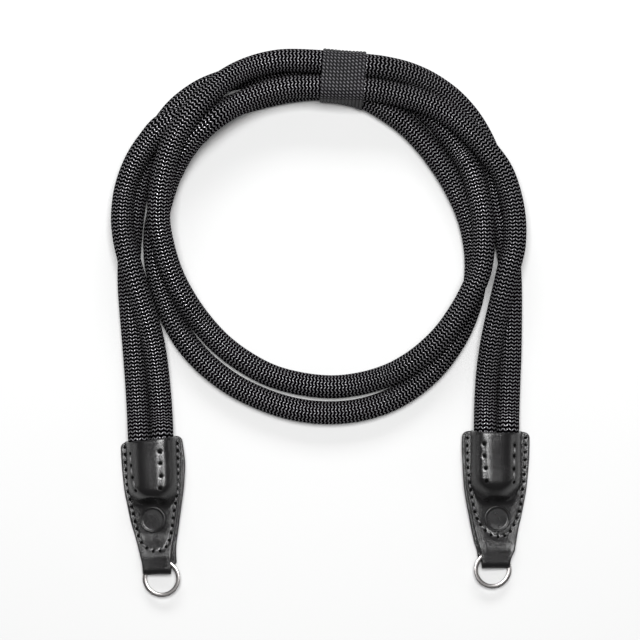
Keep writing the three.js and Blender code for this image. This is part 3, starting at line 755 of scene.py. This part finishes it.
@dataclass
class LeatherEnd:
    """One leather strip folded round a ring, its front leaf moulded over the two ropes. Sizes in mm."""

    name: str
    node: str
    at: Placement
    thickness: float = 1.3
    length: float = 57.0
    mouth_half_width: float = 13.3
    corner_radius: float = 2.5
    leaf_offset: float = 1.3
    bulge_height: float = 11.6
    bulge_half_width: float = 10.05
    squareness: float = 3.5
    foot_radius: float = 0.7
    pocket_depth: float = 22.3
    bulge_start: float = 20.5
    bulge_end: float = 34.0
    side_lead: float = 5.0
    narrowing: float = 0.45
    foot_room: float = 0.1
    medallion_aside: float = 0.7
    pressed_radius: float = 5.6
    press_blend: float = 5.2
    slope_start: float = 39.0
    slope_end: float = 50.0
    loop_height: float = 5.1
    fold_reach: tuple[float, float] = (5.8, 6.2)
    fold_blend: tuple[float, float] = (49.0, 55.7)
    show_end: float = 52.4
    seam_pitch: float = 3.1
    stitch_gap: float = 0.24
    grain_span: tuple[float, float] = (0.45, 0.8)
    fold_grain: float = 0.2
    fold_grain_span: tuple[float, float] = (46.0, 50.0)
    across: int = 96
    dome_points: int = 44
    foot_steps: int = 8
    fold_steps: int = 14
    back_span: tuple[float, int] = (4.0, 46)
    slope_span: tuple[float, int] = (44.0, 26)
    front_span: tuple[float, float, int] = (43.4, 3.2, 74)

    def shares(self, column: int, down: np.ndarray | float) -> np.ndarray:
        """A column of the edge table at distances from the mouth, on the smooth curve through its rows."""
        table = spline(np.array(EDGES[self.at.side]), 10)
        return np.interp(down / self.length, table[:, 0], table[:, column])

    def reach(self, sign: int, down: np.ndarray | float) -> np.ndarray:
        """How far the front leaf reaches to one side.

        The table's width, blended by a smooth step into the fold's own reach to that side, less the
        mouth's corner: the corner radius minus the height of its quarter circle.

        Args:
            sign: the side, -1 or 1 along x.
            down: distances from the mouth.

        Returns:
            Distances from the end's middle.
        """
        facing = self.at.side.value * sign
        free = self.mouth_half_width * self.shares(2 if facing > 0 else 1, down)
        at_fold = self.fold_reach[1 if sign > 0 else 0]
        near = smooth_step(*self.fold_blend, down)
        into = np.maximum(0.0, self.corner_radius - down)
        rounding = self.corner_radius - np.sqrt(self.corner_radius**2 - into**2)
        return free * (1 - near) + at_fold * near - rounding

    def show(self, down: float) -> float:
        """How far the back leaf lies beside the front leaf, with its sign."""
        free = 1.0 - smooth_step(self.show_end, self.nose(), down)
        return self.at.side.value * self.leaf_offset * self.shares(3, down) * free

    def nose(self) -> float:
        """Distance from the mouth at which the fold's half circle begins."""
        return self.length - self.loop_height / 2

    def low(self) -> float:
        """Height of the front leaf's middle surface where it lies on the back leaf."""
        return 1.5 * self.thickness

    def lift(self, down: float) -> float:
        """Height of the front leaf's middle surface where it is flat: a smooth step up over the ring."""
        low, high = self.low(), self.loop_height - 0.5 * self.thickness
        return low + (high - low) * smooth_step(self.slope_start, self.slope_end, down)

    def bulge_half(self) -> np.ndarray:
        """Middle line of the moulded leather from the middle out to where it lies flat, as x and height.

        A dome that is a quarter of a superellipse, (x/a)^n + (z/h)^2 = 1, and a small fillet at its foot.
        """
        foot_z = self.low() + self.foot_radius
        angle = np.linspace(np.pi / 2, 0, self.dome_points)
        x = self.bulge_half_width * np.cos(angle) ** (2 / self.squareness)
        dome = np.stack([x, foot_z + (self.bulge_height - foot_z) * np.sin(angle)], 1)
        turn = np.radians(np.linspace(180, 270, self.foot_steps + 1))[1:]
        middle = np.array([self.bulge_half_width + self.foot_radius, foot_z])
        foot = middle + self.foot_radius * np.stack([np.cos(turn), np.sin(turn)], 1)
        return np.vstack([dome, foot])

    def front_line(self, down: float) -> np.ndarray:
        """Middle line across the front leaf at one distance from the mouth, as x and z from left to right.

        The bulge dies away by a smooth step that comes earlier towards its sides, and by another that
        keeps the leather flat where the medallion is pressed in.
        """
        swell = 1 - smooth_step(self.bulge_start, self.bulge_end, down)
        narrow = 1 - self.narrowing * (1 - swell)
        profile = self.bulge_half()
        halves = []
        for sign in (-1, 1):
            edge = self.reach(sign, down) - self.thickness / 2
            room = min(1.0, (edge - self.foot_room) / (profile[-1, 0] * narrow))
            bulge = np.stack([profile[:, 0] * narrow * room, profile[:, 1]], 1)
            line = evenly(np.vstack([bulge, [[edge, self.low()]]]), self.across // 2 + 1)
            flat = np.linspace(0.0, edge, self.across // 2 + 1)
            early = self.side_lead * np.minimum(1.0, line[:, 0] / self.bulge_half_width) ** 2
            fade = 1 - smooth_step(self.bulge_start, self.bulge_end, down + early)
            x = line[:, 0] * swell + flat * (1 - swell)
            apart = np.hypot(sign * x - self.medallion_x(), down - self.at.medallion_mm)
            pressed = smooth_step(self.pressed_radius, self.pressed_radius + self.press_blend, apart)
            z = (line[:, 1] - self.low()) * fade * pressed + self.lift(down)
            halves.append(np.stack([sign * x, z], 1))
        return np.vstack([halves[0][::-1], halves[1][1:]])

    def medallion_x(self) -> float:
        """How far the medallion sits beside the end's middle, towards the outer edge."""
        return -self.at.side.value * self.medallion_aside

    def slanted(self, x: np.ndarray, down: float) -> np.ndarray:
        """Distance down with the mouth's slanted cut, fading out over the pocket's depth."""
        return down - self.at.slant * x * np.maximum(0.0, 1 - down / self.pocket_depth)

    def middle_surface(self) -> np.ndarray:
        """The strip's middle surface in its own frame, from the back leaf's mouth round the fold.

        Rows run along the strip and columns across it. The back leaf is flat, the fold is half a circle
        in the side view and the front leaf follows its middle lines.
        """
        mouth = np.array(MOUTH_ROWS_MM)
        nose = self.nose()
        radius = (self.loop_height - self.thickness) / 2
        share = np.linspace(-1, 1, self.across + 1)

        def row(x: np.ndarray, down: float, z: np.ndarray | float) -> np.ndarray:
            """Points of one row."""
            return np.stack(np.broadcast_arrays(x, self.slanted(x, down), z), axis=-1)

        def straight(down: float) -> np.ndarray:
            """Places across the strip at one distance from the mouth, evenly from edge to edge."""
            left, right = (self.reach(sign, down) - self.thickness / 2 for sign in (-1, 1))
            return (right - left) / 2 + share * (right + left) / 2

        rows = []
        start, count = self.back_span
        for down in np.concatenate([mouth, np.linspace(start, nose, count)]):
            rows.append(row(straight(down) + self.show(down), down, self.thickness / 2))
        for angle in np.radians(np.linspace(-90, 90, self.fold_steps + 1)[1:-1]):
            z = self.loop_height / 2 + radius * math.sin(angle)
            rows.append(row(straight(self.length), nose + radius * math.cos(angle), z))
        slope, flat = np.linspace(nose, *self.slope_span), np.linspace(*self.front_span)
        for down in np.concatenate([slope, flat, mouth[::-1]]):
            line = self.front_line(down)
            rows.append(row(line[:, 0], down, line[:, 1]))
        return np.array(rows)

    def section_rings(self, middle: np.ndarray, dents: np.ndarray) -> np.ndarray:
        """The strip's skin: the middle surface moved out and in by half the thickness, with round edges.

        Args:
            middle: the middle surface in rows and columns.
            dents: how far the outer skin sinks at each of its points.

        Returns:
            Rings across the strip, in rows.
        """
        along = unit(np.gradient(middle, axis=0))
        across = unit(np.gradient(middle, axis=1))
        normal = unit(np.cross(along, across))
        thick = np.full(len(middle), self.thickness / 2)
        thick[: len(LIP_SHARES)] *= LIP_SHARES
        thick[-len(LIP_SHARES) :] *= LIP_SHARES[::-1]
        h = thick[:, None, None]
        outer = middle + normal * (h - dents[..., None])
        inner = middle - normal * h
        angle = np.radians(np.linspace(90, -90, EDGE_POINTS + 2))[None, 1:-1, None]
        right = middle[:, -1:] + h * (across[:, -1:] * np.cos(angle) + normal[:, -1:] * np.sin(angle))
        left = middle[:, :1] - h * (across[:, :1] * np.cos(angle) + normal[:, :1] * np.sin(angle))
        return np.concatenate([outer, right, inner[:, ::-1], left], axis=1)

    def seams(self) -> list[tuple[Stitch, np.ndarray, np.ndarray]]:
        """The edge seam and the rows that hold the ropes.

        Returns:
            For each its kind of stitch, its holes and the finer line that it presses in, as x and down.
        """
        edge = spline(np.array(SEAMS_MM[self.at.side]), 12)
        middles = evenly(edge, round(lengths_along(edge)[-1] / self.seam_pitch) + 1)
        found = [(EDGE_STITCH, (middles[1:] + middles[:-1]) / 2, spline(middles, 4))]
        for row in np.array(FIXINGS_MM[self.at.side]):
            found.append((FIXING_STITCH, row, spline(row, 10)))
        return found

    def dents(self, middle: np.ndarray) -> np.ndarray:
        """How far the front leaf's skin sinks at stitches.

        Each hole presses the leather in by a bell curve of its distance, and the seam's line by a lower
        one. The deepest of them counts, above the back leaf and short of the fold.
        """
        x, down = middle[..., 0], middle[..., 1]
        front = (middle[..., 2] > self.thickness) & (down < self.nose())
        sinks = []
        for kind, holes, line in self.seams():
            sinks += [kind.hole_dent.sink(x, down, holes), kind.line_dent.sink(x, down, line)]
        return np.max(sinks, axis=0) * front

    def skin(self, finishes: Finishes) -> Object:
        """The whole strip as one closed skin."""
        middle = self.middle_surface()
        rings = self.section_rings(middle, self.dents(middle))
        points = self.at.place_all(rings)
        rows, around = points.shape[:2]
        surface = Surface()
        quads = tube_faces(rows, around)
        flat = points.reshape(-1, 3)
        flip = volume_under(flat - flat.mean(0), quads) < 0
        grain = self.coarseness(rings).ravel()
        faces = outward(quads, flip)
        surface.add(flat, faces, np.stack([grain[faces], np.zeros(faces.shape)], -1))
        for base, turned in ((0, not flip), ((rows - 1) * around, flip)):
            for lip in self.lip_faces(around):
                surface.more_faces(outward(lip + base, turned))
        return surface.build(self.name, finishes.leather)

    def coarseness(self, points: np.ndarray) -> np.ndarray:
        """How much of the grain shows: none on the bulge, all near the edges, and little round the fold."""
        x, down = points[..., 0], np.maximum(points[..., 1], 0)
        half = np.where(x < 0, self.reach(-1, down), self.reach(1, down))
        near_edge = smooth_step(*self.grain_span, np.abs(x) / half)
        return near_edge * (1 - (1 - self.fold_grain) * smooth_step(*self.fold_grain_span, down))

    def lip_faces(self, around: int) -> tuple[np.ndarray, np.ndarray]:
        """Quads that close one cut end between outer and inner points, and a triangle at each tip of it."""
        tip = self.across + 1 + EDGE_POINTS // 2
        i = np.arange(around // 2 - 2)
        a = (tip + 1 + i) % around
        b = (tip + 2 + i) % around
        c = (tip - 2 - i) % around
        d = (tip - 1 - i) % around
        tips = np.array([[tip % around, a[0], d[0]], [b[-1], (tip + around // 2) % around, c[-1]]])
        return np.stack([a, b, c, d], axis=1), tips

    def skin_height(self, x: np.ndarray, down: np.ndarray) -> np.ndarray:
        """Height of the front leaf's skin at points of its own frame, between the lines of a fine grid."""
        count = 45
        rows = np.linspace(down.min(), down.max(), count)
        columns = np.linspace(x.min(), x.max(), count)
        lines = [self.front_line(row) for row in rows]
        table = np.array([np.interp(columns, line[:, 0], line[:, 1]) for line in lines])
        u = (x - columns[0]) / (columns[1] - columns[0])
        v = (down - rows[0]) / (rows[1] - rows[0])
        i, j = (np.clip(place.astype(int), 0, count - 2) for place in (u, v))
        a, b = u - i, v - j
        near = table[j, i] * (1 - a) + table[j, i + 1] * a
        far = table[j + 1, i] * (1 - a) + table[j + 1, i + 1] * a
        return near * (1 - b) + far * b + self.thickness / 2

    def height_at(self, x: float, down: float) -> tuple[np.ndarray, np.ndarray]:
        """A point on the front leaf's skin and its normal there, in the end's own frame."""
        step = 0.3
        places = x + np.array([-step, 0.0, step])
        lines = [self.front_line(max(0.0, down + offset)) for offset in (-step, 0.0, step)]
        heights = np.array([np.interp(places, line[:, 0], line[:, 1]) for line in lines])
        slope_x = (heights[1, 2] - heights[1, 0]) / (2 * step)
        slope_down = (heights[2, 1] - heights[0, 1]) / (2 * step)
        normal = unit(np.array([-slope_x, -slope_down, 1.0]))
        return np.array([x, down, heights[1, 1]]) + normal * self.thickness / 2, normal

    def stitch_rings(self, start: np.ndarray, end: np.ndarray, kind: Stitch) -> np.ndarray:
        """One stitch from hole to hole: a flattened round section on an arch, thin at both ends.

        Args:
            start: its first end, as x and down.
            end: its other end.
            kind: which stitch it is.

        Returns:
            Rings of points in the end's own frame.
        """
        share = np.linspace(0.0, 1.0, 7)
        found = [self.height_at(*(start * (1 - t) + end * t)) for t in share]
        middle, normal = (np.array(values) for values in zip(*found))
        arch = np.sin(np.pi * share)
        middle = middle + normal * (kind.rise * arch - THREAD_DIVE_MM * (1 - arch))[:, None]
        side = unit(np.cross(normal, unit(np.gradient(middle, axis=0))))
        angle = ring_of(8)[None, :, None]
        size = (THREAD_END + (1 - THREAD_END) * arch**0.5) * kind.width / 2
        ring = side[:, None] * np.cos(angle) + normal[:, None] * (THREAD_FLATNESS * np.sin(angle))
        return middle[:, None] + ring * size[:, None, None]

    def stitches(self, finishes: Finishes) -> Object:
        """All thread on the front leaf as one mesh: the edge seam, and the pairs that hold the ropes."""
        surface = Surface()
        for kind, holes, _ in self.seams():
            slants = unit(np.gradient(holes, axis=0))[:, ::-1] * np.array([-1, 1]) * kind.slant
            for a, b, slant in zip(holes[:-1], holes[1:], slants):
                inset = (b - a) * self.stitch_gap + slant
                rings = self.stitch_rings(a + inset, b - inset, kind)
                closed_tube(surface, self.at.place_all(rings), cap_rise=THREAD_CAP_MM * MM)
        return surface.build(f"{self.name}_thread", finishes.thread)

    def holes(self, finishes: Finishes) -> Object:
        """Painted shade in the stitch holes: near-black lens shapes without specular, sunk in the leather.
        """
        surface = Surface()
        angle = ring_of(12)[:, None]
        share, depth = np.array(HOLE_LENS).T[..., None, None]
        for kind, holes, _ in self.seams():
            for x, down in holes:
                point, normal = self.height_at(x, down)
                side = unit(np.cross(normal, np.array([0.0, 1.0, 0.0])))
                circle = side * np.cos(angle) + np.cross(normal, side) * np.sin(angle)
                rings = point + circle * kind.hole_radius * share - normal * (kind.hole_sink + depth)
                closed_tube(surface, self.at.place_all(rings))
        return surface.build(f"{self.name}_holes", finishes.hole)

    def medallion(self, finishes: Finishes) -> Object:
        """A plain round pressed medallion: a rim bead round a hollow middle, spun about its axis."""
        radius, height = np.array(MEDALLION_MM).T[..., None]
        angle = ring_of(64)
        x = self.medallion_x() + radius * np.cos(angle)
        down = self.at.medallion_mm + radius * np.sin(angle)
        surface = Surface()
        closed_tube(surface, self.at.place(x, down, self.skin_height(x, down) + height))
        return surface.build(f"{self.name}_medallion", finishes.pressed)

    def build(self, finishes: Finishes) -> list[Object]:
        """All pieces of this end; the node's own mesh is hidden."""
        made = [
            self.skin(finishes),
            self.stitches(finishes),
            self.holes(finishes),
            self.medallion(finishes),
        ]
        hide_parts(self.node)
        for piece in made:
            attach(piece, "root")
        return made


# Ropes


@dataclass
class Rope:
    """One braided rope on its route, with its two ends squeezed into the leather. Sizes in mm."""

    name: str
    node: str
    route: tuple[tuple[float, float, float], ...]
    left_slot: int
    right_slot: int
    diameter: float = 9.55
    spacing: float = 9.5
    inside: float = 20.0
    height_inside: float = 6.0
    squeezed: float = 0.92
    squeeze_span: tuple[float, float] = (15.0, 22.0)
    unevenness: float = 0.006
    wave: float = 11.0
    slow_wave: float = 37.0
    wander: float = 1.3
    columns: int = 24
    row_pitch: float = 1.49
    around: int = 72
    rings: int = 1200

    def hidden(self, at: Placement, slot: int) -> np.ndarray:
        """Three points from the mouth into the leather."""
        down = np.array([0.0, 0.5, 1.0]) * self.inside
        return at.place(slot * self.spacing / 2, down, self.height_inside)

    def centreline(self) -> np.ndarray:
        """Evenly spaced ring centres in metres."""
        left, right = self.hidden(LEFT_END, self.left_slot), self.hidden(RIGHT_END, self.right_slot)
        points = np.vstack([left[::-1], np.array(self.route) * MM, right])
        return evenly(spline(points, 40), self.rings)

    def build(self, finishes: Finishes) -> list[Object]:
        """The rope as one tube: circles square to its line, with the braid's columns and rows as its UV.

        It is thinner inside the leather, and its radius swells and shrinks slightly along it, by a sine
        whose phase another sine shifts.
        """
        line = self.centreline()
        side, upper = level_frames(line)
        angle = np.linspace(0, 2 * np.pi, self.around + 1)
        along = lengths_along(line)
        to_end = np.minimum(along, along[-1] - along) / MM
        free = smooth_step(*self.squeeze_span, to_end)
        phase = along / (self.wave * MM) + self.wander * np.sin(along / (self.slow_wave * MM))
        swell = (self.squeezed + (1 - self.squeezed) * free) * (1 + self.unevenness * np.sin(phase))
        radius = self.diameter / 2 * MM * swell[:, None, None]
        turn = angle[None, :-1, None]
        rings = line[:, None] + (side[:, None] * np.cos(turn) + upper[:, None] * np.sin(turn)) * radius
        rings[..., 2] = np.maximum(rings[..., 2], 0.0)
        uv = tube_uv(angle / (2 * np.pi) * self.columns, along / (self.row_pitch * MM))
        surface = Surface()
        closed_tube(surface, rings, uv)
        rope = surface.build(self.name, finishes.rope)
        tuple(self.hidden(LEFT_END, self.left_slot)[0])
        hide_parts(self.node)
        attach(rope, "root")
        return [rope]


# Split rings


@dataclass
class SplitRing:
    """Two turns of flat steel wire with rounded edges. Sizes in mm."""

    name: str
    node: str
    at: Placement
    aside: float = 1.1
    inner_radius: float = 6.2
    wire_width: float = 1.7
    wire_height: float = 0.9
    turn_gap: float = 0.1
    from_mouth: float = 58.4
    loop_height: float = 5.1
    end_angle: float = 30.0
    corner_power: float = 0.55
    steps: int = 220

    def half_wire(self, sine: np.ndarray, size: float) -> np.ndarray:
        """A superellipse's coordinate from its sine or cosine."""
        return np.sign(sine) * np.abs(sine) ** self.corner_power * size / 2

    def build(self, finishes: Finishes) -> list[Object]:
        """The wire as a rounded rectangle carried round twice, rising by one turn at the crossing."""
        degrees = np.linspace(self.end_angle, 720 - self.end_angle, self.steps)
        pitch = self.wire_height + self.turn_gap
        lift = pitch * smooth_step(360 - self.end_angle, 360 + self.end_angle, degrees)
        angle = np.radians(degrees + 90)
        around = ring_of(20)
        across = self.half_wire(np.cos(around), self.wire_width)
        up = self.half_wire(np.sin(around), self.wire_height)
        radius = self.inner_radius + self.wire_width / 2 + across[None, :]
        bottom = (self.loop_height - 2 * self.wire_height - self.turn_gap) / 2
        z = bottom + self.wire_height / 2 + lift[:, None] + up[None, :]
        x = self.at.side.value * self.aside + radius * np.cos(angle)[:, None]
        down = self.from_mouth - radius * np.sin(angle)[:, None]
        surface = Surface()
        closed_tube(surface, self.at.place(x, down, z))
        ring = surface.build(self.name, finishes.steel)
        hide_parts(self.node)
        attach(ring, "root")
        return [ring]


# Keeper band


@dataclass
class KeeperBand:
    """The woven band that follows the four rope runs it holds. Sizes in mm."""

    name: str
    node: str
    ropes: tuple[Rope, Rope]
    width: float = 17.8
    thickness: float = 0.8
    clearance: float = 0.1
    centre: tuple[float, float] = (7.4, 102.5)
    turn: float = -4.2
    ribs: int = 12
    rib_rise: float = 0.36
    rows_per_rib: int = 9
    around: int = 260
    stitch_pitch: float = 1.45
    search: float = 40.0

    def axes(self) -> tuple[np.ndarray, np.ndarray]:
        """Unit vectors along the ropes and across them."""
        a = math.radians(self.turn)
        return np.array([math.cos(a), math.sin(a), 0.0]), np.array([-math.sin(a), math.cos(a), 0.0])

    def crossings(self, rope: Rope, offsets: np.ndarray) -> np.ndarray:
        """Where one rope crosses planes square to the band's axis.

        Args:
            rope: the rope.
            offsets: distances of the planes from the band's middle, mm.

        Returns:
            The lower and then the upper crossing of each plane, as distance across and height in mm.
        """
        along, across = self.axes()
        line = rope.centreline() / MM - np.array([*self.centre, 0.0])
        s, t, z = line @ along, line @ across, line[:, 2]
        near = np.flatnonzero((np.abs(s) < self.width) & (np.abs(t) < self.search))
        found = []
        for run in np.split(near, np.flatnonzero(np.diff(near) > 1) + 1):
            order = run[np.argsort(s[run])]
            found.append(np.stack([np.interp(offsets, s[order], values[order]) for values in (t, z)], 1))
        found.sort(key=lambda pair: pair[:, 1].mean())
        return np.array(found)

    @staticmethod
    def round_four(centres: np.ndarray, radius: float, count: int) -> np.ndarray:
        """A loop of even points at a radius round four centres: arcs with straight lines between."""
        points = []
        for i in range(4):
            before = centres[i] - centres[i - 1]
            after = centres[(i + 1) % 4] - centres[i]
            start = math.atan2(before[1], before[0]) - math.pi / 2
            turn = (math.atan2(after[1], after[0]) - math.pi / 2 - start) % (2 * math.pi)
            angle = start + np.linspace(0, turn, 14)
            points.append(centres[i] + radius * np.stack([np.cos(angle), np.sin(angle)], 1))
        loop = np.vstack([*points, points[0][:1]])
        return evenly(loop, count + 1)[:-1]

    def build(self, finishes: Finishes) -> list[Object]:
        """The band's skin: ribs run round it outside, each half an ellipse high, and it is plain inside.

        Rows run across the band's width outside and back inside. The number of stitches round it comes
        from the length of one outside loop.
        """
        u = np.linspace(0, self.ribs, self.ribs * self.rows_per_rib + 1)
        offsets = (u / self.ribs - 0.5) * self.width
        rib = np.sqrt(np.maximum(0.0, 1 - (2 * (u % 1.0) - 1) ** 2))
        rib[-1] = 0.0
        inner, outer = (self.crossings(rope, offsets) for rope in self.ropes)
        corners = np.stack([inner[0], outer[0], outer[1], inner[1]], axis=1)
        base = self.ropes[0].diameter / 2 + self.clearance
        outside = base + self.thickness - self.rib_rise + self.rib_rise * rib
        planes = np.arange(len(u))
        back = planes[:: -self.rows_per_rib]
        order = np.concatenate([planes, back])
        radii = np.concatenate([outside, np.full(len(back), base)])
        loops = np.array([self.round_four(corners[k], r, self.around) for k, r in zip(order, radii)])
        along, across = self.axes()
        middle = np.array([*self.centre, 0.0]) + along * offsets[order][:, None, None]
        rings = middle + across * loops[..., :1] + UP * loops[..., 1:]
        rings[..., 2] = np.maximum(rings[..., 2], 0.0)
        points = rings.reshape(-1, 3) * MM
        quads = tube_faces(len(order), self.around)
        k = np.arange(self.around)
        n = (k + 1) % self.around
        last = (len(order) - 1) * self.around
        close = np.stack([last + k, last + n, n, k], axis=1)
        length = lengths_along(loops[len(loops) // 3])[-1]
        uv = tube_uv(np.linspace(0, length / self.stitch_pitch, self.around + 1), u[order])[:, :, ::-1]
        flip = volume_under(points - points.mean(0), np.vstack([quads, close])) < 0
        surface = Surface()
        surface.add(points, outward(quads, flip), uv[:, ::-1] if flip else uv)
        surface.more_faces(outward(close, flip))
        band = surface.build(self.name, finishes.band)
        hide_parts(self.node)
        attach(band, "root")
        return [band]


# Studio


@dataclass
class Studio:
    """Camera straight above, pale floor and soft lights."""

    height: float = 1.0
    aim: tuple[float, float] = (-0.00206, 0.00231)
    view_width: float = 0.2688
    sensor: float = 36.0
    floor_reach: float = 3.0
    surround: float = 0.1

    def camera(self) -> None:
        """The camera that looks straight down, wide enough for the photograph's frame on the floor."""
        data = bpy.data.cameras.new("camera")
        data.sensor_width = self.sensor
        data.lens = self.sensor * self.height / self.view_width
        data.clip_start, data.clip_end = 0.01, 20.0
        camera = bpy.data.objects.new("camera", data)
        camera.location = (*self.aim, self.height)
        bpy.context.scene.collection.objects.link(camera)
        bpy.context.scene.camera = camera

    def lamp(
        self, name: str, place: tuple[float, float, float], size: tuple[float, float], power: float
    ) -> None:
        """A soft rectangular lamp that faces the coil's middle."""
        data = bpy.data.lights.new(name, "AREA")
        data.shape = "RECTANGLE"
        data.size, data.size_y = size
        data.energy = power
        lamp = bpy.data.objects.new(name, data)
        lamp.location = place
        x, y, z = place
        lamp.rotation_euler = (math.atan2(math.hypot(x, y), z), 0.0, math.atan2(x, -y))
        bpy.context.scene.collection.objects.link(lamp)

    def build(self) -> None:
        """Floor, surrounding light and lamps."""
        floor_finish = PlainFinish("pale_floor", (0.33, 0.33, 0.33), 0.9).make()
        surface = Surface()
        corners = np.array([(-1, -1, 0), (1, -1, 0), (1, 1, 0), (-1, 1, 0)])
        surface.add(corners * self.floor_reach, np.array([[0, 1, 2, 3]]))
        floor = surface.build("floor", floor_finish, smooth=False)
        world = bpy.data.worlds.new("studio")
        world.use_nodes = True
        background = next(n for n in world.node_tree.nodes if n.type == "BACKGROUND")
        background.inputs["Color"].default_value = (1.0, 1.0, 1.0, 1.0)
        background.inputs["Strength"].default_value = self.surround
        bpy.context.scene.world = world
        self.lamp("overhead", (0.0, 0.2, 1.35), (0.5, 0.5), 46.0)
        self.lamp("far_side", (0.0, 1.1, 0.75), (1.0, 0.4), 17.0)
        self.lamp("right_side", (1.0, -0.1, 0.25), (0.2, 0.6), 1.5)
        self.lamp("left_side", (-1.0, -0.1, 0.25), (0.2, 0.6), 1.5)
        bpy.context.scene.view_settings.view_transform = "Standard"


def main() -> None:
    """Builds the camera and ropes first, then the other pieces."""
    logging.basicConfig(level=logging.INFO, format="%(message)s")
    studio = Studio()
    studio.camera()
    finishes = Finishes.make()
    inner = Rope("inner_rope", "rope_inner", INNER_ROUTE_MM, left_slot=1, right_slot=-1)
    outer = Rope("outer_rope", "rope_outer", OUTER_ROUTE_MM, left_slot=-1, right_slot=1)
    parts = [
        inner,
        outer,
        LeatherEnd("left_end", "left_leather_end", LEFT_END, bulge_end=32.5),
        LeatherEnd("right_end", "right_leather_end", RIGHT_END, length=57.4),
        SplitRing("left_ring", "left_split_ring", LEFT_END, aside=1.9),
        SplitRing("right_ring", "right_split_ring", RIGHT_END, from_mouth=57.8),
        KeeperBand("woven_band", "keeper_band", (inner, outer)),
    ]
    for part in parts:
        for piece in part.build(finishes):
            log.info("%s: %d faces", piece.name, len(piece.data.polygons))
    studio.build()


if __name__ == "__main__":
    main()
